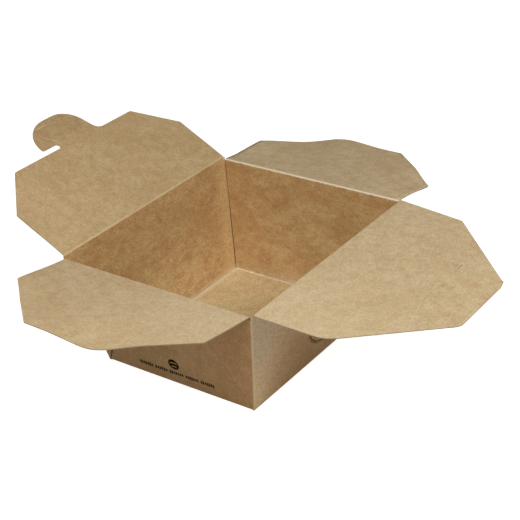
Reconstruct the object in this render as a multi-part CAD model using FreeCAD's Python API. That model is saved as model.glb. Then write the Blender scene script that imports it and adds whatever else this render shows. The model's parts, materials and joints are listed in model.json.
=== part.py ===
import FreeCAD, Part
import math
import os

Vector = FreeCAD.Vector

# A folded paperboard food box with its four lid flaps open. Millimetres.
# +X runs along the long walls, +Y points to the wall with the tab flap, +Z is up.
# The origin is the middle of the underside of the floor.

# Tub, over the outside of the board
rim_length = 130.0
rim_width = 111.0
base_length = 107.0
base_width = 89.0
tub_height = 60.0
board = 0.45

# Creases and the room that folded layers need
crease_gap = 0.15
layer_gap = 0.25
end_flap_side_gap = 0.55
long_flap_side_gap = 0.6
floor_fold_radius = 0.4

# Corner gussets, folded against the outside of the end walls
gusset_drop = 6.0
gusset_cap_drop = 1.5
gusset_lift = 0.9
gusset_tack = 0.12
ply_gap = 0.2
corner_slot = 0.4
fold_width = 1.0

# Rounding of the crisp corners of all flaps
crisp_corner = 1.5

# End flaps
end_flap_reach = 63.5
end_flap_shoulder = 32.0
end_flap_tip = 38.6
end_flap_soft_corner = 18.0
left_end_flap_tilt = 7.5
right_end_flap_tilt = -7.5
right_end_flap_bow = 1.3

# Slit flap
slit_flap_reach = 78.7
slit_flap_shoulder = 35.6
slit_flap_narrowing = 2.0
slit_flap_tip = 41.6
slit_flap_soft_shoulder = 16.0
slit_flap_soft_corner = 6.0
slit_flap_tilt = -3.5

# Slit that the tab is pushed into
slit_length = 40.0
slit_shift = 6.0
slit_width = 0.35
slit_tail = 8.5
slit_tail_angle = 14.0

# Tab flap
tab_flap_reach = 52.8
tab_flap_shoulder = 31.8
tab_flap_tip = 89.4
tab_flap_tilt = 28.5

# Hooked tab on the edge of the tab flap
tab_height = 19.8
tab_root_width = 28.9
tab_top_width = 34.0
tab_shift = 4.0
tab_shoulder_round = 14.0
tab_root_round = 5.0
tab_slot = 3.0
tab_slot_length = 10.5
tab_tip_round = 1.2

# Slopes of the walls, sideways for each millimetre of height
end_wall_slope = (rim_length - base_length) / 2 / tub_height
long_wall_slope = (rim_width - base_width) / 2 / tub_height

# Horizontal thickness of a sloping wall
end_wall_board = board * math.hypot(1, end_wall_slope)
long_wall_board = board * math.hypot(1, long_wall_slope)

# The lid closes in layers: both end flaps, then the slit flap, then the tab flap
layer_step = board + layer_gap
slit_wall_top = tub_height + layer_step
tab_wall_top = slit_wall_top + layer_step
gusset_top = tub_height - gusset_drop


def end_face_x(height):
    """Outer face of an end wall, from the middle of the box."""
    return base_length / 2 + end_wall_slope * height


def long_face_y(height):
    """Outer face of a long wall, from the middle of the box."""
    return base_width / 2 + long_wall_slope * height


def gusset_crease_slope():
    """Sideways run of the gusset's diagonal crease for each millimetre of height."""
    end_slant = math.hypot(tub_height, end_wall_slope * tub_height)
    long_slant = math.hypot(tub_height, long_wall_slope * tub_height)
    end_flare = math.atan2(long_wall_slope * tub_height, end_slant)
    long_flare = math.atan2(end_wall_slope * tub_height, long_slant)
    half_web = (math.pi / 2 - end_flare - long_flare) / 2
    return math.tan(half_web - end_flare) * end_slant / tub_height


def flat_face(points):
    return Part.Face(Part.makePolygon(points + points[:1]))


def sheet(points, thickness):
    """Flat piece of board: a polygon pushed through by a thickness vector."""
    return flat_face(points).extrude(thickness)


def prism(back, front):
    """Solid between two polygons whose matching corners lie on parallel lines."""
    faces = [flat_face(back), flat_face(front)]
    for index in range(len(back)):
        sides = [back[index - 1], back[index], front[index], front[index - 1]]
        faces.append(flat_face(sides))
    return Part.Solid(Part.Shell(faces))


def mirrored_x(shape):
    return shape.mirror(Vector(0, 0, 0), Vector(1, 0, 0))


def mirrored_y(shape):
    return shape.mirror(Vector(0, 0, 0), Vector(0, 1, 0))


def corner_arc(before, here, after, radius):
    """Start, middle and end of the arc that rounds the corner at here."""
    to_before = (before - here).normalize()
    to_after = (after - here).normalize()
    half_angle = to_before.getAngle(to_after) / 2
    trim = radius / math.tan(half_angle)
    towards_centre = (to_before + to_after).normalize()
    middle = here + towards_centre * (radius / math.sin(half_angle) - radius)
    return here + to_before * trim, middle, here + to_after * trim


def floor_fold_waste(face, slope, length):
    """What the rounded fold leaves out under a wall on the +X side that leans out by slope."""
    corner = Vector(face, 0, 0)
    on_floor = corner - Vector(board, 0, 0)
    on_wall = corner + Vector(slope, 0, 1)
    start, middle, end = corner_arc(on_floor, corner, on_wall, floor_fold_radius)
    arc = Part.Arc(start, middle, end).toShape()
    outline = Part.Wire([Part.makeLine(corner, start), arc, Part.makeLine(end, corner)])
    waste = Part.Face(outline).extrude(Vector(0, length, 0))
    waste.translate(Vector(0, -length / 2, 0))
    return waste


def floor_fold_wastes():
    """The waste of all four floor creases."""
    end_waste = floor_fold_waste(base_length / 2, end_wall_slope, rim_width)
    long_waste = floor_fold_waste(base_width / 2, long_wall_slope, rim_length)
    long_waste.rotate(Vector(0, 0, 0), Vector(0, 0, 1), 90)
    return [end_waste, mirrored_x(end_waste), long_waste, mirrored_y(long_waste)]


def floor_panel():
    corner = Vector(-base_length / 2, -base_width / 2, 0)
    return Part.makeBox(base_length, base_width, board, corner)


def end_wall():
    """End wall on the +X side. Its side edges stay clear of the long walls by the corner slot."""
    inset = long_wall_board + corner_slot
    bottom_y = long_face_y(0) - inset
    top_y = long_face_y(tub_height) - inset
    points = [
        Vector(end_face_x(0), -bottom_y, 0),
        Vector(end_face_x(0), bottom_y, 0),
        Vector(end_face_x(tub_height), top_y, tub_height),
        Vector(end_face_x(tub_height), -top_y, tub_height),
    ]
    return sheet(points, Vector(-end_wall_board, 0, 0))


def long_wall(side, top):
    """Long wall on one side of Y. Below the gusset's top its ends reach out to the outer ply."""
    gusset_reach = end_face_x(gusset_top) + outer_ply_offset() + end_wall_board
    right_edge = [
        (end_face_x(0) + end_wall_board, 0),
        (gusset_reach, gusset_top),
        (end_face_x(tub_height), tub_height),
        (end_face_x(tub_height), top),
    ]
    left_edge = [(-x, z) for x, z in reversed(right_edge)]
    points = [Vector(x, side * long_face_y(z), z) for x, z in right_edge + left_edge]
    return sheet(points, Vector(0, -side * long_wall_board, 0))


def outer_ply_offset():
    """How far the inner face of the outer ply stands off the end wall at the corner edge."""
    return end_wall_board + ply_gap - gusset_tack


def gusset_spread():
    """Width of a gusset between its corner edge and its crease for each millimetre of height."""
    return long_wall_slope + gusset_crease_slope()


def ply_point(corner_offset, height, inset):
    """Point on a ply's inner face in the +X +Y corner, set in sideways from the corner edge."""
    foot_offset = min(corner_offset, 0)
    rise = (corner_offset - foot_offset) * height / gusset_top
    lift = (gusset_tack + gusset_lift) * inset / (gusset_spread() * gusset_top)
    return Vector(end_face_x(height) + foot_offset + rise + lift, long_face_y(height) - inset, height)


def ply_triangle(corner_offset, foot_inset, top_inset):
    """Inner face of a ply: its foot on the crease, then its two top corners."""
    foot_height = foot_inset / gusset_spread()
    return [
        ply_point(corner_offset, foot_height, foot_inset),
        ply_point(corner_offset, gusset_top, top_inset),
        ply_point(corner_offset, gusset_top, gusset_spread() * gusset_top),
    ]


def gusset_cap():
    """Top of the outer ply, bent in to the end wall: two flat triangles."""
    thickness = Vector(end_wall_board, 0, 0)
    corner_foot = ply_point(outer_ply_offset(), gusset_top, 0)
    fold_foot = ply_point(outer_ply_offset(), gusset_top, gusset_spread() * gusset_top)
    height = tub_height - gusset_cap_drop
    corner_top = Vector(end_face_x(height) - gusset_tack, long_face_y(height), height)
    fold_top = corner_top - Vector(0, gusset_spread() * height, 0)
    lower_half = sheet([corner_foot, fold_foot, fold_top], thickness)
    return lower_half.fuse(sheet([corner_foot, fold_top, corner_top], thickness))


def gusset():
    """Web of the +X +Y corner: two plies, folded along the diagonal and laid on the end wall."""
    thickness = Vector(end_wall_board, 0, 0)
    inner_offset = -gusset_tack
    inner_inset = long_wall_board + corner_slot
    outer_ply = sheet(ply_triangle(outer_ply_offset(), 0, 0), thickness)
    inner_ply = sheet(ply_triangle(inner_offset, inner_inset, inner_inset), thickness)
    strip_inset = gusset_spread() * gusset_top - fold_width
    fold_back = ply_triangle(inner_offset, inner_inset, strip_inset)
    fold_front = [point + thickness for point in ply_triangle(outer_ply_offset(), inner_inset, strip_inset)]
    return outer_ply.fuse([inner_ply, prism(fold_back, fold_front), gusset_cap()])


def build_tub():
    """Floor, four walls and four gussets, folded from one blank."""
    right_gussets = [gusset(), mirrored_y(gusset())]
    left_gussets = [mirrored_x(web) for web in right_gussets]
    panels = [
        end_wall(),
        mirrored_x(end_wall()),
        long_wall(1, tab_wall_top),
        long_wall(-1, slit_wall_top),
    ]
    tub = floor_panel().fuse(panels + right_gussets + left_gussets)
    return tub.removeSplitter().cut(floor_fold_wastes())


def rounded_outline(corners):
    """Closed wire through (along, out, radius) corners, with an arc at each rounded one."""
    points = [Vector(along, out, 0) for along, out, radius in corners]
    edges = []
    joints = []
    for index, here in enumerate(points):
        radius = corners[index][2]
        after = points[(index + 1) % len(points)]
        start, middle, end = corner_arc(points[index - 1], here, after, radius)
        if radius > 0:
            edges.append(Part.Arc(start, middle, end).toShape())
        joints.append((start, end))
    for index, (start, end) in enumerate(joints):
        previous_end = joints[index - 1][1]
        if previous_end.distanceToPoint(start) > Part.Precision.confusion():
            edges.append(Part.makeLine(previous_end, start))
    return Part.Wire(Part.sortEdges(edges)[0])


def rolled_root(width):
    """Rounded edge of a flap along its hinge, which lies on the X axis."""
    return Part.makeCylinder(board / 2, width, Vector(-width / 2, 0, 0), Vector(1, 0, 0))


def flat_flap(corners, root_width):
    """Flap lying flat: the hinge along X, the flap running out along +Y."""
    panel = Part.Face(rounded_outline(corners)).extrude(Vector(0, 0, board))
    panel.translate(Vector(0, 0, -board / 2))
    return panel.fuse(rolled_root(root_width)).removeSplitter()


def bowed_flap(corners, root_width, reach, bow):
    """Flap like a flat one, but curling up from its hinge until its outer edge is raised by bow."""
    bend_radius = (reach ** 2 + bow ** 2) / (2 * bow)
    bend_axis = Vector(-root_width / 2, 0, bend_radius)
    outer_roll = Part.makeCylinder(bend_radius + board / 2, root_width, bend_axis, Vector(1, 0, 0))
    inner_roll = Part.makeCylinder(bend_radius - board / 2, root_width, bend_axis, Vector(1, 0, 0))
    room = Part.Face(rounded_outline(corners)).extrude(Vector(0, 0, bow + 2 * board))
    room.translate(Vector(0, 0, -board))
    panel = room.common(outer_roll).cut(inner_roll)
    return panel.fuse(rolled_root(root_width))


def tapered_corners(root_width, shoulder_width, shoulder, tip_width, reach, radii):
    """Outline of a plain flap: straight sides to the shoulders, then slanting in to the tip.

    The radii go round from the shoulder on the +X side to the shoulder on the -X side.
    """
    return [
        (-root_width / 2, 0, 0),
        (root_width / 2, 0, 0),
        (shoulder_width / 2, shoulder, radii[0]),
        (tip_width / 2, reach, radii[1]),
        (-tip_width / 2, reach, radii[2]),
        (-shoulder_width / 2, shoulder, radii[3]),
    ]


def place_flap(shape, tilt, turn, hinge):
    """Tilt a flat flap up about its hinge, turn it to its side of the box and seat it there."""
    shape.rotate(Vector(0, 0, 0), Vector(1, 0, 0), tilt)
    shape.rotate(Vector(0, 0, 0), Vector(0, 0, 1), turn)
    shape.translate(hinge)
    return shape


def hinge_height(wall_top):
    return wall_top + crease_gap + board / 2


def end_hinge_x():
    return end_face_x(tub_height) + crease_gap + board / 2


def long_hinge_y(wall_top):
    return long_face_y(wall_top) + crease_gap + board / 2


def end_flap_width():
    return rim_width - 2 * long_wall_board - 2 * end_flap_side_gap


def end_flap_corners():
    """Outline of both end flaps. One corner of the tip is cut rounder than the other."""
    width = end_flap_width()
    radii = [crisp_corner, crisp_corner, end_flap_soft_corner, crisp_corner]
    return tapered_corners(width, width, end_flap_shoulder, end_flap_tip, end_flap_reach, radii)


def build_left_end_flap():
    hinge = Vector(-end_hinge_x(), 0, hinge_height(tub_height))
    shape = flat_flap(end_flap_corners(), end_flap_width())
    return place_flap(shape, left_end_flap_tilt, 90, hinge)


def build_right_end_flap():
    hinge = Vector(end_hinge_x(), 0, hinge_height(tub_height))
    shape = bowed_flap(end_flap_corners(), end_flap_width(), end_flap_reach, right_end_flap_bow)
    return place_flap(shape, right_end_flap_tilt, -90, hinge)


def closure_slit():
    """Cut through the slit flap where the shut tab flap's hook goes in, with one end bent outward."""
    out = rim_width - tab_flap_reach - tab_slot
    near = slit_length / 2 - slit_shift
    straight = Part.makeBox(slit_length, slit_width, 2 * board, Vector(near - slit_length, out, -board))
    tail = Part.makeBox(slit_tail, slit_width, 2 * board, Vector(near, out, -board))
    tail.rotate(Vector(near, out, 0), Vector(0, 0, 1), slit_tail_angle)
    return straight.fuse(tail)


def build_slit_flap():
    root_width = rim_length - 2 * long_flap_side_gap
    shoulder_width = root_width - 2 * slit_flap_narrowing
    corners = tapered_corners(
        root_width,
        shoulder_width,
        slit_flap_shoulder,
        slit_flap_tip,
        slit_flap_reach,
        [slit_flap_soft_shoulder, slit_flap_soft_corner, crisp_corner, crisp_corner],
    )
    shape = flat_flap(corners, root_width).cut(closure_slit())
    hinge = Vector(0, -long_hinge_y(slit_wall_top), hinge_height(slit_wall_top))
    return place_flap(shape, slit_flap_tilt, 180, hinge)


def hooked_tab_corners():
    """Outline of the hooked tab, from its root on the +X side round to the end of its slot."""
    edge = tab_flap_reach
    hook_x = -tab_shift - tab_top_width / 2
    slot_end_x = hook_x + tab_slot_length
    hook_round = tab_height - tab_slot - tab_tip_round
    return [
        (slot_end_x + tab_root_width, edge, tab_root_round),
        (hook_x + tab_top_width, edge + tab_height, tab_shoulder_round),
        (hook_x, edge + tab_height, hook_round),
        (hook_x, edge + tab_slot, tab_tip_round),
        (slot_end_x, edge + tab_slot, tab_slot / 2),
        (slot_end_x, edge, tab_slot / 2),
    ]


def build_tab_flap():
    root_width = rim_length - 2 * long_flap_side_gap
    plain = tapered_corners(
        root_width,
        root_width,
        tab_flap_shoulder,
        tab_flap_tip,
        tab_flap_reach,
        [crisp_corner] * 4,
    )
    corners = plain[:4] + hooked_tab_corners() + plain[4:]
    hinge = Vector(0, long_hinge_y(tab_wall_top), hinge_height(tab_wall_top))
    return place_flap(flat_flap(corners, root_width), tab_flap_tilt, 0, hinge)


parts = {
    "tub": build_tub(),
    "left_end_flap": build_left_end_flap(),
    "right_end_flap": build_right_end_flap(),
    "slit_flap": build_slit_flap(),
    "tab_flap": build_tab_flap(),
}

os.makedirs("parts", exist_ok=True)
for name, shape in parts.items():
    shape.exportStep("parts/" + name + ".step")
    box = shape.BoundBox
    print(name, "solids", len(shape.Solids), "valid", shape.isValid(), "mm3", round(shape.Volume, 1))
    print("  from", round(box.XMin, 2), round(box.YMin, 2), round(box.ZMin, 2))
    print("  to", round(box.XMax, 2), round(box.YMax, 2), round(box.ZMax, 2))
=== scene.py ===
import json
import math

import bmesh
import bpy
from mathutils import Euler, Matrix, Quaternion, Vector


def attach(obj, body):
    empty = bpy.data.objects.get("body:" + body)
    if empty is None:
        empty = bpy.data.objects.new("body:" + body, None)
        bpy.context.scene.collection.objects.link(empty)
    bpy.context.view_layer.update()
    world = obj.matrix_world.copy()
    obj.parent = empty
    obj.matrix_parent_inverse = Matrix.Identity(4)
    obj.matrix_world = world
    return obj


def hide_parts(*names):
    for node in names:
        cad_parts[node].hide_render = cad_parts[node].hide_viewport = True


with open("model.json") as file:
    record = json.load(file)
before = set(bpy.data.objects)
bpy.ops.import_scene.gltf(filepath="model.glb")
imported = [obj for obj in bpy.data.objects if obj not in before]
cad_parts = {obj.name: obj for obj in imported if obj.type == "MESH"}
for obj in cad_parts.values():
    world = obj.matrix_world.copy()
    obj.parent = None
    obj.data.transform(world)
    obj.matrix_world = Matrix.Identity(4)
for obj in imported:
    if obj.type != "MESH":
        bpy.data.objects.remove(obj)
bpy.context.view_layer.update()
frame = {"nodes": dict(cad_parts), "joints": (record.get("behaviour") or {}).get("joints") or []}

MM = 0.001

# Camera: where the photograph was taken from, in the frame of the part
camera_place = Vector((-459.2, -359.9, 361.2)) * MM
camera_azimuth = -52.95
camera_elevation = 28.68
camera_roll = -3.92
camera_lens = 92.24

# Light: place in mm, width in m and power in W of each lamp
ambient_level = 0.05
lamps = {
    "left_lamp": ((-400, -60, 450), 0.35, 2.1),
    "front_lamp": ((40, -420, 420), 0.35, 1.5),
    "low_lamp": ((60, -600, 120), 0.4, 0.55),
}
lamp_aim = Vector((0, 0, 30)) * MM

# Floor: half its width, its greys, and the glow that turns it white away from the box
floor_half_size = 3.0
floor_plain_grey = (0.78, 0.78, 0.78, 1)
floor_shown_grey = (0.8, 0.8, 0.8, 1)
floor_glow = (0.2, 0.5, 0.86, 1.0)

# The tub's outer form, and the board
rim_length = 130 * MM
rim_width = 111 * MM
base_length = 107 * MM
base_width = 89 * MM
tub_height = 60 * MM
board = 0.45 * MM
crease_gap = 0.15 * MM
front_corner = Vector((-rim_length / 2, -rim_width / 2, tub_height))

# Colours, as screen values from 0 to 255
kraft_pale = (209, 187, 149)
kraft_mid = (199, 174, 134)
kraft_warm = (184, 147, 106)
lit_pale = (212, 191, 153)
lit_mid = (201, 178, 138)
# Painted light: paler kraft on the flaps near the front corner
front_light_pale = (218, 197, 160)
# Darker copy of the kraft for the steep tab flap: painted shade
tab_shaded_pale = (198, 173, 132)
tab_shaded_mid = (186, 159, 115)
# Inside tones: warmer, more saturated kraft, partly painted warm bounce light between the walls
inner_pale = (225, 194, 141)
inner_mid = (207, 171, 118)
inner_warm = (190, 137, 81)
inner_faded = (226, 195, 140)
outer_pale = (208, 175, 128)
outer_mid = (195, 159, 112)
# Paler grey and pale glow of painted light on the front wall
outer_lit_grey = (205, 184, 153)
outer_glow = (226, 203, 158)
# Pale worn fibre and painted highlight on the outer corners
edge_highlight = (216, 194, 148)
# Floor tones: paler kraft, as painted light on the floor
floor_pale = (230, 208, 160)
floor_mid = (221, 195, 147)
crease_white = (238, 226, 200)
# Cut edges, darkened as painted shade
cut_edge_shade = (141, 128, 106)
speck_dark = (92, 68, 44)
# Dark brown of painted shadow in gaps and slots
shadow_dark = (58, 38, 22)
print_ink = (15, 11, 8)

# Shares that a colour is multiplied by, as red, green and blue
green_tint = (0.96, 1.0, 0.88, 1)
pink_tint = (1.0, 0.91, 0.9, 1)
deep_tint = (0.75, 0.69, 0.63, 1)

# A span below is where a fade begins and where it ends. A fade adds its shares at the two places,
# unless they are 0 and 1. A stretch is the scale of a pattern's coordinates.

# Tones of the fibre: share of the wide clouds, fades of tones and patches, shares of the warm patches
cloud_share = 0.45
tone_fade = (0.38, 0.62)
patch_span = (0.42, 0.72)
usual_warm_share = 0.45
inner_warm_share = 0.5
floor_warm_share = 0.25
inner_stretch = (0.9, 0.9, 1.7)

# Grain of the board, and tints as scale and share
grain_stretch = (0.45, 1, 1)
grain_span = (0.4, 0.66)
tub_grain = 1.0
flap_grain = 0.7
tint_layers = [(480, 1.0), (110, 0.7)]
green_span = (0.5, 0.68)
pink_span = (0.32, 0.5)

# Loose strands: scale of their noise, width, level in the noise, strength and colour
strands = [
    (240, 0.009, 0.5, 0.18, crease_white),
    (310, 0.01, 0.46, 0.2, speck_dark),
]
strand_core = 0.4
strand_break_scale = 1.7
strand_break = (0.56, 0.64)

# Specks: scale of their cells, radius, share of the cells that have one, and strength
speck_scale = 190
speck_radius = 0.085
speck_core = 0.5
speck_share = 0.14
speck_share_soft = 0.02
speck_strength = 0.6

# Surface of the board: its unevenness, roughness and sheen, and the sheen that ink takes away
tooth_stretch = (0.4, 1, 1)
wave_share = 2.0
bump_strength = 0.35
bump_depth = 0.09 * MM
roughness_fade = (0.3, 0.7, 0.74, 0.88)
creased_roughness = 0.08
board_sheen = 0.25
ink_sheen_loss = 0.24

# Fades of a face's normal, for the faces that look up, towards plus and towards minus
looks_up = (-0.05, 0.05)
flap_looks_up = (-0.1, 0.1)
looks_plus = (0.6, 0.8)
looks_minus = (-0.8, -0.6, 1, 0)

# Fade along the tub's length that picks its right half
right_half = (0, 10 * MM)

# Fades on the outside of the tub, painted light and shade: greyer, paler front wall near the front corner, a
# painted glow at its foot, darker stretches on the front and left walls
lit_grey_along = (-58 * MM, -20 * MM, 1, 0.45)
lit_grey_up = (14 * MM, 34 * MM, 0.5, 1)
glow_along = (-54 * MM, -38 * MM, 0.8, 0)
glow_up = (5 * MM, 40 * MM, 1, 0)
front_shade_along = (-50 * MM, -20 * MM, 0, 0.5)
left_shade_along = (-50 * MM, 0, 0.7, 0)

# Fades on the inside: painted shade darker towards the rim and the left, pale board beside the back right
# corner and over the floor, and painted shade on the floor towards the front
inner_shade_up = (4 * MM, 46 * MM)
inner_shade_along = (-64 * MM, -10 * MM, 1, 0)
most_inner_shade = 1.3
least_right_shade = 0.5
right_shade_loss = 0.15
corner_pale_off = (-14 * MM, -0.5 * MM)
corner_pale_up = (0, 58 * MM, 0.95, 0.45)
floor_pale_up = (0, 7 * MM, 0.6, 0)
floor_pale_across = (-10 * MM, 42 * MM, 1, 0.25)
floor_shade_across = (-20 * MM, 40 * MM, 0.6, 0)

# Gussets: lean of their fold for each length of height, their tint, and the shade at the fold
gusset_fold_slope = 0.4606
gusset_start = (0, 0.5 * MM)
gusset_top = (50 * MM, 54 * MM, 1, 0)
gusset_tint_share = 0.35
fold_shade = (0.1 * MM, 0.7 * MM, 0.35, 0)

# Painted shadow in the gap under a gusset's fold, seen from the long walls' side
fold_shadow_side = (0.5, 0.8)
fold_shadow_along = (50 * MM, 52 * MM)
fold_shadow_across = [(-1.2 * MM, -0.8 * MM), (0.8 * MM, 1.2 * MM, 1, 0)]
fold_shadow_foot = (1.5 * MM, 2.5 * MM)

# Painted shadow in the slot beside each corner inside: fades off the long wall, off the end wall and up
slot_off_long = [(-1.0 * MM, -0.9 * MM), (-0.46 * MM, -0.42 * MM, 1, 0)]
slot_off_end = [(-0.5 * MM, -0.4 * MM), (0.2 * MM, 0.3 * MM, 1, 0)]
slot_up = (30 * MM, 44 * MM, 1, 0.3)

# Wear of the tub, with painted highlight on its outer corners: how far its outline wanders, and fades off
# corners, floor edges and rim
tub_wobble = 0.9 * MM
corner_wear_highlight = (0.3 * MM, 1.0 * MM, 0.5, 0)
end_floor_wear = (0.7 * MM, 1.3 * MM, 1, 0)
end_floor_sides = (-10 * MM, 10 * MM, 0.2, 0.95)
rim_wear = (-0.5 * MM, -0.1 * MM)
rim_wear_side = (63 * MM, 64 * MM, 0, 0.5)
long_floor_wear = (0.5 * MM, 4.5 * MM, 0.4, 0)
broken_wear = (0.3, 0.6, 0.25, 1)

# A short pale scuff on the floor's edge at the right end wall
nick_y = 33 * MM
nick_fade = (0.9 * MM, 1.8 * MM, 1, 0)

# Fade of the ink where the board's tooth shows through
ink_fade = (0.3, 0.5, 0.93, 1)

# Print on the left end wall: a round emblem with two curved bands
emblem_place = (0.9 * MM, 12.3 * MM)
emblem_radius = 3.2 * MM
emblem_soft = 0.15 * MM
emblem_inside = (0.6 * emblem_radius, 0.75 * emblem_radius, 1, 0)
band_middle = 1.2 * emblem_radius
band_radii = (0.8 * emblem_radius, 1.5 * emblem_radius)
band_fade = (0.2 * MM, 0.5 * MM, 0.95, 0)

# Under it a row of short strokes in groups
row_middle = (0.5 * MM, 6.6 * MM)
row_length = 46.6 * MM
row_soft = 0.12 * MM
stroke_pitch = 1.25 * MM
stroke_half_width = 0.37 * stroke_pitch
stroke_height = 1.7 * MM
tall_stroke_height = 1.44 * stroke_height
tall_stroke_chance = (0.6, 0.7)
group_pitch = 9.4 * MM
group_gap = 1.0 * MM

# Print on the wall under the slit flap: rings as radius and half width, and ticks inside them
stamp_place = (4.4 * MM, 25.3 * MM)
stamp_radius = 16.6 * MM
stamp_rings = [(stamp_radius, 0.2 * MM), (15.7 * MM, 0.4 * MM)]
ring_soft = 0.4
tick_count = 30
tick_fade = (0.2, 0.6)
tick_radius = 0.8 * stamp_radius
tick_band = (0.8 * MM, 1.1 * MM, 1, 0)
stamp_strength = 0.75

# Flaps: rest tilt in degrees up from level, tones, painted shade on the tip and whiteness of the root. The
# lit tones and the darker tab tones are painted light and painted shade on copies of one kraft.
rest_tilts = {"left_end_flap": 7.5, "right_end_flap": -7.5, "slit_flap": -3.5, "tab_flap": 28.5}
flap_tones = {
    "left_end_flap": (kraft_pale, kraft_mid),
    "right_end_flap": (lit_pale, lit_mid),
    "slit_flap": (lit_pale, lit_mid),
    "tab_flap": (tab_shaded_pale, tab_shaded_mid),
}
tip_shade = {"left_end_flap": 0.0, "right_end_flap": 0.0, "slit_flap": 0.0, "tab_flap": 0.5}
root_whiteness = {"left_end_flap": 0.05, "right_end_flap": 0.05, "slit_flap": 0.0, "tab_flap": 0.0}
flap_wobble = 1.2 * MM
tip_span = (46 * MM, 66 * MM)
root_span = (0.1 * MM, 1.0 * MM)
# Painted light on the flaps, fading out from the front corner
front_light_fade = (15 * MM, 80 * MM, 0.4, 0)
cut_fade = (0.45, 0.75, 0.8, 0)

# Creases: whiteness of the broken fibre, how much shorter than the rim they are, and their form
crease_whiteness = {"left_end_flap": 0.1, "right_end_flap": 1.0, "slit_flap": 0.0, "tab_flap": 0.08}
least_whiteness = 0.6
broken_fibre = (0.3, 0.6)
plain_crease_depth = 0.8
crease_end_fade = (-0.05 * MM, 0.2 * MM, 1, 0.15)
long_crease_short = 1.2 * MM
end_crease_short = 1.9 * MM
crease_rings = 120
crease_ripple = 0.05
# Two waves whose product is the ripple of a crease: turn along it, and shift from side to side
ripple_waves = [(17.3 * math.pi, 1), (41, 2)]
roll_angles = range(-60, 136, 15)
roll_clearance = 0.02 * MM
wall_overlap = 0.01 * MM
wall_cover = 0.6 * board

# Gentle curls of the flaps: place along the hinge, place out, radius and lift, in mm
curls = {
    "left_end_flap": [(54, 32, 26, 1.0), (19, 64, 24, 0.4), (-19, 64, 26, -1.7), (-54, 32, 22, 0.2)],
    "right_end_flap": [(54, 34, 24, -1.9), (-54, 32, 28, 1.9), (-14, 62, 24, 1.3)],
    "slit_flap": [(-21, 79, 3.6, 1.1)],
    "tab_flap": [(-21, 72, 20, -0.6), (64, 32, 30, -0.2), (-64, 32, 30, -1.1)],
}
# Curls grow to their full lift over this distance from the hinge
curl_ease = 12 * MM
# Share by which a lifted point is drawn in towards the middle of its crease, for each metre of lift
curl_draw = 4.0
grid_step = 2.5 * MM
same_point = 1e-6
flat_angle = 0.2

# Pale scuffs where the hooked tab was bent: start, end and whiteness
scuff_half_width = 0.5 * MM
scuff_core = 0.3
scuff_wander = 0.8
hook_scuffs = [
    ((-12.6 * MM, 69.4 * MM), (-6.5 * MM, 69.6 * MM), 0.3),
    ((-6.5 * MM, 69.6 * MM), (1.4 * MM, 68.2 * MM), 0.14),
    ((-14.0 * MM, 65.2 * MM), (-12.7 * MM, 62.0 * MM), 0.14),
    ((-12.7 * MM, 62.0 * MM), (-8.5 * MM, 56.9 * MM), 0.22),
    ((-5.3 * MM, 55.7 * MM), (4.3 * MM, 58.0 * MM), 0.14),
]

# Slit of the slit flap: its bend, its size, and how much of its far end gapes
slit_bend = (14 * MM, 55.2 * MM)
slit_length = 40 * MM
slit_width = 0.35 * MM
slit_tail = 8.5 * MM
slit_tail_angle = 14
slit_open_end = 8 * MM
# Shares of the slit's width by which its edges close, less at the far end, and on the tail
slit_close = 0.86
slit_gape = 0.4
tail_close = 0.7

# Shade and pale fibre along the slit
slit_across = (0.1 * MM, 0.3 * MM, 1, 0)
slit_along = [
    (-slit_length - 0.2 * MM, -slit_length),
    (-0.2 * MM, 0, 1, 0),
    (-slit_length, -slit_length + slit_open_end, 0.45, 0.05),
]
tail_across = (0.15 * MM, 0.4 * MM, 0.36, 0)
tail_along = [(0, 0.5 * MM), (slit_tail - 0.5 * MM, slit_tail + 0.5 * MM, 1, 0)]
end_fleck = (0.3 * MM, 0.8 * MM, 0.5, 0)


def linear(colour):
    """Screen colour from 0 to 255 as the linear colour that a shader takes, by the sRGB curve."""
    shares = [value / 255 for value in colour]
    curved = [share / 12.92 if share < 0.04045 else ((share + 0.055) / 1.055) ** 2.4 for share in shares]
    return (*curved, 1.0)


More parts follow.
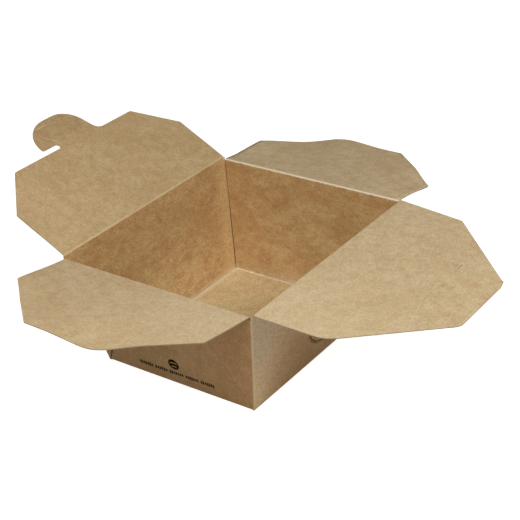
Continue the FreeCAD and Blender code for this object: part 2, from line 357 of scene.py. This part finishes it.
class Shader:
    """A material's node tree, with short calls that return output sockets."""

    def __init__(self, name):
        self.material = bpy.data.materials.new(name)
        self.material.use_nodes = True
        self.tree = self.material.node_tree
        self.tree.nodes.clear()

    def node(self, kind, inputs, **settings):
        made = self.tree.nodes.new(kind)
        for key, value in settings.items():
            setattr(made, key, value)
        for socket, value in inputs.items():
            if isinstance(value, bpy.types.NodeSocket):
                self.tree.links.new(value, made.inputs[socket])
            else:
                made.inputs[socket].default_value = value
        return made

    def math(self, operation, *values):
        inputs = dict(enumerate(values))
        return self.node("ShaderNodeMath", inputs, operation=operation).outputs[0]

    def size_of(self, value):
        return self.math("ABSOLUTE", value)

    def apart(self, first, second):
        """How far two values lie apart."""
        return self.size_of(self.math("SUBTRACT", first, second))

    def local(self, kind, place=(0, 0, 0), rotation=(0, 0, 0)):
        """Coordinates or normal in a local frame, which stays with the piece when it moves."""
        source = self.node("ShaderNodeTexCoord", {}).outputs[kind]
        inputs = {"Vector": source, "Location": place, "Rotation": rotation}
        return self.node("ShaderNodeMapping", inputs, vector_type="TEXTURE").outputs[0]

    def stretched(self, vector, scale):
        return self.node("ShaderNodeMapping", {"Vector": vector, "Scale": scale}).outputs[0]

    def split(self, vector):
        return self.node("ShaderNodeSeparateXYZ", {"Vector": vector}).outputs

    def noise(self, vector, scale, detail=3.0, roughness=0.5, distortion=0.0):
        inputs = {
            "Vector": vector,
            "Scale": scale,
            "Detail": detail,
            "Roughness": roughness,
            "Distortion": distortion,
        }
        return self.node("ShaderNodeTexNoise", inputs).outputs["Fac"]

    def ramp(self, value, low, high, out_low=0.0, out_high=1.0):
        """Smooth step of a value from low to high."""
        inputs = {
            "Value": value,
            "From Min": low,
            "From Max": high,
            "To Min": out_low,
            "To Max": out_high,
        }
        return self.node("ShaderNodeMapRange", inputs, interpolation_type="SMOOTHSTEP").outputs[0]

    def ramps(self, value, fades):
        """Product of several fades of one value."""
        return self.product(*[self.ramp(value, *fade) for fade in fades])

    def wobble(self, rough, reach):
        """Wandering of an outline, from a noise around 0.5."""
        return self.math("MULTIPLY", self.math("SUBTRACT", rough, 0.5), reach)

    def mix(self, share, first, second, blend="MIX"):
        """Mix of two colours, which are sockets 6 and 7 of the node. Its colour comes out of socket 2."""
        inputs = {0: share, 6: first, 7: second}
        return self.node("ShaderNodeMix", inputs, data_type="RGBA", blend_type=blend).outputs[2]

    def length(self, first, second):
        """Length of a vector of two values."""
        squares = [self.math("MULTIPLY", value, value) for value in (first, second)]
        return self.math("SQRT", self.math("ADD", *squares))

    def turned(self, first, second, angle):
        """First of two coordinates, in axes that are turned by an angle."""
        aside = self.math("MULTIPLY", second, math.sin(angle))
        return self.math("MULTIPLY_ADD", first, math.cos(angle), aside)

    def product(self, *values):
        result = values[0]
        for value in values[1:]:
            result = self.math("MULTIPLY", result, value)
        return result

    def finish(self, surface):
        self.node("ShaderNodeOutputMaterial", {"Surface": surface})
        return self.material


def kraft_tones(shader, vector, pale, mid, warm=kraft_warm, warm_share=usual_warm_share):
    """Kraft fibre: cloudy tones at two scales, and warmer patches."""
    clouds = shader.noise(vector, scale=38, detail=3, roughness=0.5, distortion=0.3)
    mottle = shader.noise(vector, scale=210, detail=4, roughness=0.62, distortion=0.5)
    wide = shader.math("MULTIPLY", clouds, cloud_share)
    both = shader.math("ADD", wide, shader.math("MULTIPLY", mottle, 1 - cloud_share))
    colour = shader.mix(shader.ramp(both, *tone_fade), linear(mid), linear(pale))
    patches = shader.noise(vector, scale=120, detail=5, roughness=0.68, distortion=0.2)
    return shader.mix(shader.ramp(patches, *patch_span, 0, warm_share), colour, linear(warm))


def fibres(shader, vector, scale, width, level):
    """Short bent strands: thin contour lines of a noise, broken up by another one."""
    lines = shader.noise(vector, scale, detail=1, distortion=0.4)
    strand = shader.ramp(shader.apart(lines, level), width * strand_core, width, 1, 0)
    breaks = shader.noise(vector, scale * strand_break_scale, detail=1)
    return shader.math("MULTIPLY", strand, shader.ramp(breaks, *strand_break))


def specks(shader, vector):
    """Scattered small dots: some cells of a cell pattern get one."""
    cells = shader.node("ShaderNodeTexVoronoi", {"Vector": vector, "Scale": speck_scale})
    chance = shader.split(cells.outputs["Color"])[0]
    chosen = shader.ramp(chance, 1 - speck_share, 1 - speck_share + speck_share_soft)
    near = shader.ramp(cells.outputs["Distance"], speck_radius * speck_core, speck_radius, 1, 0)
    return shader.math("MULTIPLY", near, chosen)


def weathered(shader, vector, colour, grain_share):
    """Grain, tints, strands and specks over a board colour."""
    along_fibre = shader.stretched(vector, grain_stretch)
    grain = shader.noise(along_fibre, scale=1600, detail=2, roughness=0.8)
    colour = shader.mix(shader.ramp(grain, *grain_span, 0, grain_share), colour, deep_tint, "MULTIPLY")
    for scale, share in tint_layers:
        tint = shader.noise(vector, scale, detail=5, roughness=0.75)
        colour = shader.mix(shader.ramp(tint, *green_span, 0, share), colour, green_tint, "MULTIPLY")
        colour = shader.mix(shader.ramp(tint, *pink_span, share, 0), colour, pink_tint, "MULTIPLY")
    for scale, width, level, strength, tone in strands:
        found = fibres(shader, vector, scale, width, level)
        colour = shader.mix(shader.math("MULTIPLY", found, strength), colour, linear(tone))
    dots = shader.math("MULTIPLY", specks(shader, vector), speck_strength)
    return shader.mix(dots, colour, linear(speck_dark))


def board_surface(shader, vector, colour, creased, sheen=board_sheen):
    """Matt, slightly uneven board. Creased fibre is rougher."""
    along_fibre = shader.stretched(vector, tooth_stretch)
    tooth = shader.noise(along_fibre, scale=1500, detail=3, roughness=0.65)
    waves = shader.noise(vector, scale=160, detail=2)
    height = shader.math("ADD", tooth, shader.math("MULTIPLY", waves, wave_share))
    height = shader.math("ADD", height, shader.math("MULTIPLY", creased, tooth))
    bump_inputs = {"Strength": bump_strength, "Distance": bump_depth, "Height": height}
    bump = shader.node("ShaderNodeBump", bump_inputs)
    rougher = shader.math("MULTIPLY", creased, creased_roughness)
    inputs = {
        "Base Color": colour,
        "Roughness": shader.math("ADD", shader.ramp(tooth, *roughness_fade), rougher),
        "Normal": bump.outputs[0],
        "Specular IOR Level": sheen,
    }
    return shader.finish(shader.node("ShaderNodeBsdfPrincipled", inputs).outputs[0])


def off_wall(shader, along, height, base, rim):
    """Distance from the outer face of a sloping wall, less than 0 inside it."""
    slope = (rim - base) / 2 / tub_height
    face = shader.math("MULTIPLY_ADD", height, slope, base / 2)
    beyond = shader.math("SUBTRACT", shader.size_of(along), face)
    return shader.math("MULTIPLY", beyond, 1 / math.hypot(1, slope))


def emblem_mask(shader, across, height):
    """Round emblem with two pale curved bands."""
    along = shader.math("SUBTRACT", across, emblem_place[0])
    up = shader.math("SUBTRACT", height, emblem_place[1])
    radius = shader.length(along, up)
    disc = shader.ramp(radius, emblem_radius - emblem_soft, emblem_radius + emblem_soft, 1, 0)
    ripple = shader.length(along, shader.math("ADD", up, band_middle))
    bands = [shader.ramp(shader.apart(ripple, band), *band_fade) for band in band_radii]
    inside = shader.ramp(radius, *emblem_inside)
    pale = shader.math("MULTIPLY", shader.math("MAXIMUM", *bands), inside)
    return shader.math("MULTIPLY", disc, shader.math("SUBTRACT", 1.0, pale))


def stroke_row_mask(shader, across, height):
    """Row of short upright strokes, some taller than others, with gaps between the groups."""
    along = shader.math("SUBTRACT", across, row_middle[0])
    number = shader.math("FLOOR", shader.math("DIVIDE", along, stroke_pitch))
    chance = shader.node("ShaderNodeTexWhiteNoise", {"W": number}, noise_dimensions="1D").outputs["Value"]
    half_height = shader.ramp(chance, *tall_stroke_chance, stroke_height / 2, tall_stroke_height / 2)
    off_stroke = shader.math("PINGPONG", along, stroke_pitch / 2)
    stroke = shader.ramp(off_stroke, stroke_half_width - row_soft, stroke_half_width + row_soft, 1, 0)
    off_row = shader.apart(height, row_middle[1])
    tall = shader.ramp(shader.math("SUBTRACT", off_row, half_height), -row_soft, row_soft, 1, 0)
    off_gap = shader.math("PINGPONG", shader.math("ADD", along, group_pitch / 2), group_pitch / 2)
    group = shader.ramp(off_gap, group_gap / 2, group_gap / 2 + row_soft)
    in_row = shader.ramp(shader.size_of(along), row_length / 2 - row_soft, row_length / 2, 1, 0)
    return shader.product(stroke, tall, group, in_row)


def stamp_mask(shader, across, height):
    """Two thin rings and a round of ticks inside them."""
    along = shader.math("SUBTRACT", across, stamp_place[0])
    up = shader.math("SUBTRACT", height, stamp_place[1])
    radius = shader.length(along, up)
    rings = [
        shader.ramp(shader.apart(radius, ring), half * (1 - ring_soft), half * (1 + ring_soft), 1, 0)
        for ring, half in stamp_rings
    ]
    turns = shader.math("MULTIPLY", shader.math("ARCTAN2", up, along), tick_count)
    tick = shader.ramp(shader.math("SINE", turns), *tick_fade)
    band = shader.ramp(shader.apart(radius, tick_radius), *tick_band)
    ticks = shader.math("MULTIPLY", tick, band)
    return shader.math("MAXIMUM", shader.math("MAXIMUM", *rings), ticks)


def outside_board(shader, vector, place, on_left, on_front):
    """Outside of the walls, with painted light and shade: the front one greyer and paler near the front
    corner with a painted glow at its foot, darker stretches there and on the left.
    """
    x, y, z = place
    colour = kraft_tones(shader, vector, outer_pale, outer_mid)
    # Painted light near the front corner, painted shade further along and on the left wall
    lit_grey_side = shader.product(shader.ramp(x, *lit_grey_along), shader.ramp(z, *lit_grey_up), on_front)
    colour = shader.mix(lit_grey_side, colour, linear(outer_lit_grey))
    front_shade = shader.math("MULTIPLY", shader.ramp(x, *front_shade_along), on_front)
    left_shade = shader.math("MULTIPLY", shader.ramp(y, *left_shade_along), on_left)
    colour = shader.mix(shader.math("ADD", front_shade, left_shade), colour, deep_tint, "MULTIPLY")
    front_glow = shader.product(shader.ramp(x, *glow_along), shader.ramp(z, *glow_up), on_front)
    return shader.mix(front_glow, colour, linear(outer_glow))


def gusset_shades(shader, colour, place, facing):
    """A pinker gusset on the end walls, a painted shade along its fold, and painted shadow in the gap under
    it.
    """
    x, y, z = place
    normal_x, normal_y = facing
    on_end = shader.ramp(shader.size_of(normal_x), *looks_plus)
    beyond_foot = shader.math("SUBTRACT", shader.size_of(y), base_width / 2)
    past_fold = shader.math("MULTIPLY_ADD", z, gusset_fold_slope, beyond_foot)
    on_gusset = shader.product(shader.ramp(past_fold, *gusset_start), shader.ramp(z, *gusset_top), on_end)
    tinted = shader.math("MULTIPLY", on_gusset, gusset_tint_share)
    colour = shader.mix(tinted, colour, pink_tint, "MULTIPLY")
    along_fold = shader.ramp(shader.size_of(past_fold), *fold_shade)
    colour = shader.mix(shader.math("MULTIPLY", along_fold, on_end), colour, linear(speck_dark))
    # Painted shadow under the gusset's fold
    fold_shadow = shader.product(
        shader.ramp(shader.size_of(normal_y), *fold_shadow_side),
        shader.ramp(shader.size_of(x), *fold_shadow_along),
        shader.ramps(past_fold, fold_shadow_across),
        shader.ramp(z, *fold_shadow_foot),
    )
    return shader.mix(fold_shadow, colour, linear(shadow_dark))


def inside_walls(shader, vector, place, facing):
    """Inside of the walls: painted shade, darker towards the rim, paler beside the back right corner and over
    the floor.
    """
    x, y, z = place
    normal_x, normal_y = facing
    along_walls = shader.stretched(vector, inner_stretch)
    colour = kraft_tones(shader, along_walls, inner_pale, inner_mid, inner_warm, inner_warm_share)
    on_back = shader.ramp(normal_y, *looks_minus)
    on_right = shader.ramp(normal_x, *looks_minus)
    # Painted shade: darker towards the rim and towards the left
    wall_shade = shader.math("ADD", shader.ramp(z, *inner_shade_up), shader.ramp(x, *inner_shade_along))
    kept = shader.math("SUBTRACT", 1.0, shader.math("MULTIPLY", on_right, right_shade_loss))
    wall_shade = shader.math("MULTIPLY", wall_shade, kept)
    wall_shade = shader.math("MAXIMUM", wall_shade, shader.math("MULTIPLY", on_right, least_right_shade))
    wall_shade = shader.math("MINIMUM", wall_shade, most_inner_shade)
    colour = shader.mix(wall_shade, colour, deep_tint, "MULTIPLY")
    beside_corner = shader.product(
        shader.ramp(off_wall(shader, x, z, base_length, rim_length), *corner_pale_off),
        shader.ramp(z, *corner_pale_up),
        on_back,
        shader.ramp(x, *right_half),
    )
    colour = shader.mix(beside_corner, colour, linear(inner_faded))
    over_floor = shader.product(
        shader.ramp(z, *floor_pale_up),
        shader.ramp(y, *floor_pale_across),
        on_right,
    )
    return shader.mix(over_floor, colour, linear(crease_white))


def inside_floor(shader, vector, across):
    """Inside of the floor: paler tones as painted light, and painted shade towards the front."""
    colour = kraft_tones(shader, vector, floor_pale, floor_mid, warm_share=floor_warm_share)
    return shader.mix(shader.ramp(across, *floor_shade_across), colour, deep_tint, "MULTIPLY")


def worn_tub(shader, vector, colour, place, inside, outward):
    """Pale fibre on corners, floor edges and rim, with painted highlight on the outer corners and painted
    shadow in the slots. Returns the colour and where the board is worn.
    """
    x, y, z = place
    off_end = off_wall(shader, x, z, base_length, rim_length)
    off_long = off_wall(shader, y, z, base_width, rim_width)
    rough = shader.noise(vector, scale=420, detail=3, roughness=0.7)
    wobble = shader.wobble(rough, tub_wobble)
    corner = shader.math("ADD", shader.length(off_end, off_long), wobble)
    # Outer corners paler: worn fibre and painted highlight
    lit_worn_corner = shader.math("MULTIPLY", shader.ramp(corner, *corner_wear_highlight), outward)
    colour = shader.mix(lit_worn_corner, colour, linear(edge_highlight))
    end_floor = shader.math("ADD", shader.length(off_end, z), wobble)
    worn_end = shader.product(
        shader.ramp(end_floor, *end_floor_wear),
        shader.ramp(x, *end_floor_sides),
        inside,
    )
    near_rim = shader.math("SUBTRACT", shader.math("ADD", z, wobble), tub_height)
    worn_rim = shader.math("MULTIPLY", shader.ramp(near_rim, *rim_wear), shader.ramp(x, *rim_wear_side))
    worn = shader.math("MAXIMUM", worn_end, worn_rim)
    worn = shader.math("MULTIPLY", worn, shader.ramp(rough, *broken_wear))
    off_nick = shader.length(shader.math("SUBTRACT", y, nick_y), end_floor)
    nick = shader.product(shader.ramp(off_nick, *nick_fade), shader.ramp(x, *right_half))
    worn = shader.math("MAXIMUM", worn, nick)
    colour = shader.mix(worn, colour, linear(crease_white))
    faded_fold = shader.product(shader.ramp(shader.length(off_long, z), *long_floor_wear), inside)
    colour = shader.mix(faded_fold, colour, linear(crease_white))
    # Painted shadow in the slot beside each corner
    slot_shadow = shader.product(
        shader.ramps(off_long, slot_off_long),
        shader.ramps(off_end, slot_off_end),
        shader.ramp(z, *slot_up),
    )
    return shader.mix(slot_shadow, colour, linear(shadow_dark)), worn


def printed(shader, vector, colour, place, on_left, on_front):
    """Print on the outside of the walls. Returns the colour and where the ink is."""
    x, y, z = place
    faded = shader.ramp(shader.noise(vector, scale=900, detail=2), *ink_fade)
    left_print = shader.math("MAXIMUM", emblem_mask(shader, y, z), stroke_row_mask(shader, y, z))
    left_print = shader.product(left_print, on_left, faded)
    colour = shader.mix(left_print, colour, linear(print_ink))
    stamp = shader.product(stamp_mask(shader, x, z), on_front, faded, stamp_strength)
    colour = shader.mix(stamp, colour, linear(print_ink))
    return colour, shader.math("MAXIMUM", left_print, stamp)


def tub_material():
    shader = Shader("tub_kraft")
    vector = shader.local("Object")
    place = shader.split(vector)
    normal_x, normal_y, normal_z = shader.split(shader.local("Normal"))
    facing = (normal_x, normal_y)
    inside = shader.ramp(normal_z, *looks_up)
    outward = shader.math("SUBTRACT", 1.0, inside)
    on_left = shader.ramp(normal_x, *looks_minus)
    on_front = shader.ramp(normal_y, *looks_minus)
    outer = outside_board(shader, vector, place, on_left, on_front)
    outer = gusset_shades(shader, outer, place, facing)
    inner = inside_walls(shader, vector, place, facing)
    bottom = inside_floor(shader, vector, place[1])
    inner = shader.mix(shader.ramp(normal_z, *looks_plus), inner, bottom)
    colour = weathered(shader, vector, shader.mix(inside, outer, inner), tub_grain)
    colour, worn = worn_tub(shader, vector, colour, place, inside, outward)
    on_left = shader.math("MULTIPLY", on_left, outward)
    on_front = shader.math("MULTIPLY", on_front, outward)
    colour, ink = printed(shader, vector, colour, place, on_left, on_front)
    sheen = shader.math("MULTIPLY_ADD", ink, -ink_sheen_loss, board_sheen)
    return board_surface(shader, vector, colour, worn, sheen)


def slit_trace(shader, vector, colour):
    """Thin shade along the straight cut, darker at its far end, and pale fibre along its bent tail."""
    along, out = shader.split(vector)[:2]
    along = shader.math("SUBTRACT", along, slit_bend[0])
    out = shader.math("SUBTRACT", out, slit_bend[1])
    near = shader.ramp(shader.size_of(out), *slit_across)
    shade = shader.math("MULTIPLY", near, shader.ramps(along, slit_along))
    colour = shader.mix(shade, colour, linear(speck_dark))
    turn = math.radians(slit_tail_angle)
    tail = shader.turned(along, out, turn)
    off_tail = shader.turned(out, along, -turn)
    near_tail = shader.ramp(shader.size_of(off_tail), *tail_across)
    pale = shader.math("MULTIPLY", near_tail, shader.ramps(tail, tail_along))
    off_end = shader.length(shader.math("ADD", along, slit_length), out)
    pale = shader.math("MAXIMUM", pale, shader.ramp(off_end, *end_fleck))
    return shader.mix(pale, colour, linear(crease_white))


def line_mask(shader, along, out, start, end):
    """Thin straight line between two points of a flap, soft at its ends."""
    length = math.dist(start, end)
    turn = math.atan2(end[1] - start[1], end[0] - start[0])
    past_along = shader.math("SUBTRACT", along, start[0])
    past_out = shader.math("SUBTRACT", out, start[1])
    run = shader.turned(past_along, past_out, turn)
    off = shader.turned(past_out, past_along, -turn)
    near = shader.ramp(shader.size_of(off), scuff_half_width * scuff_core, scuff_half_width, 1, 0)
    begun = shader.ramp(run, -scuff_half_width, scuff_half_width)
    ended = shader.ramp(run, length - scuff_half_width, length + scuff_half_width, 1, 0)
    return shader.product(near, begun, ended)


def scuffed_hook(shader, vector, colour, wobble):
    """Pale scuffs of the hooked tab, each a little bent."""
    along, out = shader.split(vector)[:2]
    bent = shader.math("MULTIPLY_ADD", wobble, scuff_wander, out)
    for start, end, share in hook_scuffs:
        scuff = shader.math("MULTIPLY", line_mask(shader, along, bent, start, end), share)
        colour = shader.mix(scuff, colour, linear(crease_white))
    return colour


def flap_material(name, place, rotation):
    """Board of a flap, in the flap's own frame: X along the hinge, Y out, Z up through the board."""
    shader = Shader(name + "_kraft")
    vector = shader.local("Object", place, rotation)
    out = shader.split(vector)[1]
    normal_z = shader.split(shader.local("Normal", rotation=rotation))[2]
    inner = kraft_tones(shader, vector, *flap_tones[name])
    outer = kraft_tones(shader, vector, outer_pale, outer_mid)
    colour = shader.mix(shader.ramp(normal_z, *flap_looks_up), outer, inner)
    # Painted shade: the tip of the steep tab flap is darker
    shaded_tip = shader.ramp(out, *tip_span, 0, tip_shade[name])
    colour = shader.mix(shaded_tip, colour, deep_tint, "MULTIPLY")
    # Painted light: the flaps turn paler towards the front corner
    off_corner = shader.length(*shader.split(shader.local("Object", front_corner))[:2])
    colour = shader.mix(shader.ramp(off_corner, *front_light_fade), colour, linear(front_light_pale))
    colour = weathered(shader, vector, colour, flap_grain)
    # Painted shade: cut edges darker than the faces
    on_cut = shader.ramp(shader.size_of(normal_z), *cut_fade)
    colour = shader.mix(on_cut, colour, linear(cut_edge_shade))
    rough = shader.noise(vector, scale=500, detail=3, roughness=0.7)
    wobble = shader.wobble(rough, flap_wobble)
    if name == "slit_flap":
        colour = slit_trace(shader, vector, colour)
    if name == "tab_flap":
        colour = scuffed_hook(shader, vector, colour, wobble)
    worn = shader.ramp(shader.math("ADD", out, wobble), *root_span, root_whiteness[name], 0)
    colour = shader.mix(worn, colour, linear(crease_white))
    return board_surface(shader, vector, colour, worn)


def crease_material(name):
    """Stretched, broken fibre of a crease, fading out past the walls' ends."""
    shader = Shader(name + "_crease_fibre")
    vector = shader.local("Object")
    whiteness = crease_whiteness[name]
    colour = kraft_tones(shader, vector, *flap_tones[name])
    if whiteness == 0:
        colour = shader.mix(plain_crease_depth, colour, deep_tint, "MULTIPLY")
    rough = shader.noise(vector, scale=700, detail=4, roughness=0.75)
    share = shader.ramp(rough, *broken_fibre, whiteness * least_whiteness, whiteness)
    along = shader.size_of(shader.split(vector)[0])
    beyond_wall = shader.math("SUBTRACT", along, rim_length / 2)
    share = shader.math("MULTIPLY", share, shader.ramp(beyond_wall, *crease_end_fade))
    colour = shader.mix(share, colour, linear(crease_white))
    return board_surface(shader, vector, colour, 1.0)


def link(name, mesh, material):
    mesh.materials.append(material)
    made = bpy.data.objects.new(name, mesh)
    bpy.context.scene.collection.objects.link(made)
    return made


def crease_turn(joint):
    """Angle of a crease, seen from above."""
    axis = joint["axis"]
    return math.atan2(axis[1], axis[0])


def hinge_frame(joint):
    """Place and rotation of a flap's own frame, from its crease: X along it, Y out, Z up."""
    tilt = math.radians(rest_tilts[joint["child"]])
    return Vector(joint["pos_m"]), Euler((tilt, 0, crease_turn(joint)))


def cut_by_grid(form, spans):
    """Cuts a flat form along lines one grid step apart, so that it can bend."""
    for axis, (low, high) in enumerate(spans):
        count = int((high - low) / grid_step)
        normal = Vector((0, 0, 0))
        normal[axis] = 1
        for step in range(1, count + 1):
            place = normal * (low + (high - low) * step / (count + 1))
            geometry = form.verts[:] + form.edges[:] + form.faces[:]
            bmesh.ops.bisect_plane(form, geom=geometry, plane_co=place, plane_no=normal, dist=1e-7)


def curl_lift(name, along, out):
    """How far a flap's curls raise a point, from nothing at the hinge."""
    lift = 0.0
    for corner_along, corner_out, radius, height in curls[name]:
        away = math.hypot(along - corner_along * MM, out - corner_out * MM) / (radius * MM)
        if away < 1:
            share = 1 - away
            lift += height * MM * share * share * (3 - 2 * share)
    ease = min(max(out / curl_ease, 0), 1)
    return lift * ease * ease


def close_slit(form):
    """Brings the edges of the slit together, as in board that has just been cut."""
    turn = math.radians(slit_tail_angle)
    for vert in form.verts:
        along, out = vert.co.x - slit_bend[0], vert.co.y - slit_bend[1]
        if -slit_length - slit_width < along < slit_width and abs(out - slit_width) < slit_width / 4:
            open_end = min(max(-along - slit_length + slit_open_end, 0) / slit_open_end, 1)
            vert.co.y -= slit_width * (slit_close - slit_gape * open_end)
            continue
        tail = along * math.cos(turn) + out * math.sin(turn)
        off_tail = out * math.cos(turn) - along * math.sin(turn)
        if 0 < tail < slit_tail + slit_width and abs(off_tail - slit_width) < slit_width / 4:
            vert.co.x += slit_width * tail_close * math.sin(turn)
            vert.co.y -= slit_width * tail_close * math.cos(turn)


def make_flap(joint):
    """The flap as board that curls a little at its corners."""
    name = joint["child"]
    place, rotation = hinge_frame(joint)
    local = Matrix.LocRotScale(place, rotation, None)
    form = bmesh.new()
    form.from_mesh(frame["nodes"][name].data)
    form.transform(local.inverted())
    bmesh.ops.remove_doubles(form, verts=form.verts, dist=same_point)
    angle = math.radians(flat_angle)
    bmesh.ops.dissolve_limit(form, angle_limit=angle, verts=form.verts, edges=form.edges)
    spans = []
    for axis in (0, 1):
        places = [vert.co[axis] for vert in form.verts]
        spans.append((min(places), max(places)))
    cut_by_grid(form, spans)
    if name == "slit_flap":
        close_slit(form)
    for vert in form.verts:
        lift = curl_lift(name, vert.co.x, vert.co.y)
        vert.co.z += lift
        vert.co.xy = vert.co.xy * (1 - curl_draw * abs(lift))
    form.transform(local)
    mesh = bpy.data.meshes.new(name + "_board")
    form.to_mesh(mesh)
    form.free()
    flap = link(name + "_board", mesh, flap_material(name, place, rotation))
    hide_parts(name)
    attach(flap, name)


def crease_profile():
    """Sections of the folded board between a wall's top edge and its flap, seen along the hinge.

    The middle is the hinge. The roll goes round the flap's root, and the rest lies on the wall's top edge.
    """
    radius = board / 2 + roll_clearance
    edge = -(board / 2 + crease_gap)
    turns = [math.radians(angle) for angle in roll_angles]
    roll = [(radius * math.cos(turn), radius * math.sin(turn)) for turn in turns]
    on_wall = [
        (edge - wall_cover, edge + wall_overlap),
        (edge + wall_overlap, edge + wall_overlap),
        (edge + wall_overlap, edge - crease_gap),
    ]
    return roll, on_wall


def make_crease(joint, width):
    """Pressed board of a crease: it runs from the wall's top edge round the flap's root."""
    name = joint["child"]
    place = Vector(joint["pos_m"])
    level = Euler((0, 0, crease_turn(joint)))
    roll, on_wall = crease_profile()
    sides = len(roll) + len(on_wall)
    verts, faces = [], []
    for ring in range(crease_rings + 1):
        share = ring / crease_rings
        for side, (out, up) in enumerate(roll + on_wall):
            ripple = math.prod(math.sin(turn * share + shift * side) for turn, shift in ripple_waves)
            size = 1 + crease_ripple * ripple if side < len(roll) else 1
            verts.append(((share - 0.5) * width, size * out, size * up))
    for ring in range(crease_rings):
        for side in range(sides):
            after = (side + 1) % sides
            a, b = ring * sides + side, ring * sides + after
            faces.append((a, b, b + sides, a + sides))
    faces.append(tuple(reversed(range(sides))))
    faces.append(tuple(crease_rings * sides + side for side in range(sides)))
    mesh = bpy.data.meshes.new(name + "_crease")
    mesh.from_pydata(verts, [], faces)
    mesh.transform(Matrix.LocRotScale(place, level, None))
    form = bmesh.new()
    form.from_mesh(mesh)
    bmesh.ops.recalc_face_normals(form, faces=form.faces)
    form.to_mesh(mesh)
    form.free()
    bead = link(name + "_crease", mesh, crease_material(name))
    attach(bead, "tub")


def dress_tub():
    node = frame["nodes"]["tub"]
    material = tub_material()
    if not node.material_slots:
        node.data.materials.append(material)
    for slot in node.material_slots:
        slot.material = material


def make_camera():
    data = bpy.data.cameras.new("camera")
    data.lens = camera_lens
    camera = bpy.data.objects.new("camera", data)
    azimuth, elevation = math.radians(camera_azimuth), math.radians(camera_elevation)
    ahead = Vector((
        -math.sin(azimuth) * math.cos(elevation),
        math.cos(azimuth) * math.cos(elevation),
        -math.sin(elevation),
    ))
    level = ahead.to_track_quat("-Z", "Y")
    camera.rotation_mode = "QUATERNION"
    camera.rotation_quaternion = level @ Quaternion((0, 0, 1), math.radians(camera_roll))
    camera.location = camera_place
    bpy.context.scene.collection.objects.link(camera)
    bpy.context.scene.camera = camera


def seen_directly(shader):
    """1 for what the camera sees directly, or through a gloss or glass."""
    path = shader.node("ShaderNodeLightPath", {}).outputs
    shine = shader.math("MAXIMUM", path["Is Glossy Ray"], path["Is Transmission Ray"])
    return shader.math("MAXIMUM", path["Is Camera Ray"], shine)


def make_lamps():
    for name, (place, size, power) in lamps.items():
        data = bpy.data.lights.new(name, "AREA")
        data.size = size
        data.energy = power
        lamp = bpy.data.objects.new(name, data)
        lamp.location = Vector(place) * MM
        lamp.rotation_mode = "QUATERNION"
        lamp.rotation_quaternion = (lamp_aim - lamp.location).to_track_quat("-Z", "Y")
        bpy.context.scene.collection.objects.link(lamp)


def make_world():
    world = bpy.data.worlds.new("world")
    world.use_nodes = True
    tree = world.node_tree
    tree.nodes.clear()
    path = tree.nodes.new("ShaderNodeLightPath").outputs
    seen = tree.nodes.new("ShaderNodeMath")
    seen.operation = "MAXIMUM"
    tree.links.new(path["Is Camera Ray"], seen.inputs[0])
    tree.links.new(path["Is Glossy Ray"], seen.inputs[1])
    strength = tree.nodes.new("ShaderNodeMapRange")
    strength.inputs["To Min"].default_value = ambient_level
    strength.inputs["To Max"].default_value = 1.0
    tree.links.new(seen.outputs[0], strength.inputs["Value"])
    background = tree.nodes.new("ShaderNodeBackground")
    background.inputs["Color"].default_value = (1, 1, 1, 1)
    tree.links.new(strength.outputs[0], background.inputs["Strength"])
    output = tree.nodes.new("ShaderNodeOutputWorld")
    tree.links.new(background.outputs[0], output.inputs[0])
    bpy.context.scene.world = world


def make_floor():
    shader = Shader("floor_paper")
    plain = shader.node("ShaderNodeBsdfDiffuse", {"Color": floor_plain_grey}).outputs[0]
    shown = shader.node("ShaderNodeBsdfDiffuse", {"Color": floor_shown_grey}).outputs[0]
    from_middle = shader.length(*shader.split(shader.local("Object"))[:2])
    level = shader.ramp(from_middle, *floor_glow)
    glow = shader.node("ShaderNodeEmission", {"Color": (1, 1, 1, 1), "Strength": level}).outputs[0]
    bright = shader.node("ShaderNodeAddShader", {0: shown, 1: glow}).outputs[0]
    parts = {0: seen_directly(shader), 1: plain, 2: bright}
    surface = shader.node("ShaderNodeMixShader", parts).outputs[0]
    half = floor_half_size
    corners = [(-half, -half, 0), (half, -half, 0), (half, half, 0), (-half, half, 0)]
    mesh = bpy.data.meshes.new("floor")
    mesh.from_pydata(corners, [], [(0, 1, 2, 3)])
    link("floor", mesh, shader.finish(surface))


bpy.context.scene.view_settings.view_transform = "Standard"
make_camera()
make_lamps()
make_world()
make_floor()
dress_tub()
for joint in frame["joints"]:
    make_flap(joint)
    along_long_wall = abs(joint["axis"][0]) > 0.5
    make_crease(joint, rim_length - long_crease_short if along_long_wall else rim_width - end_crease_short)
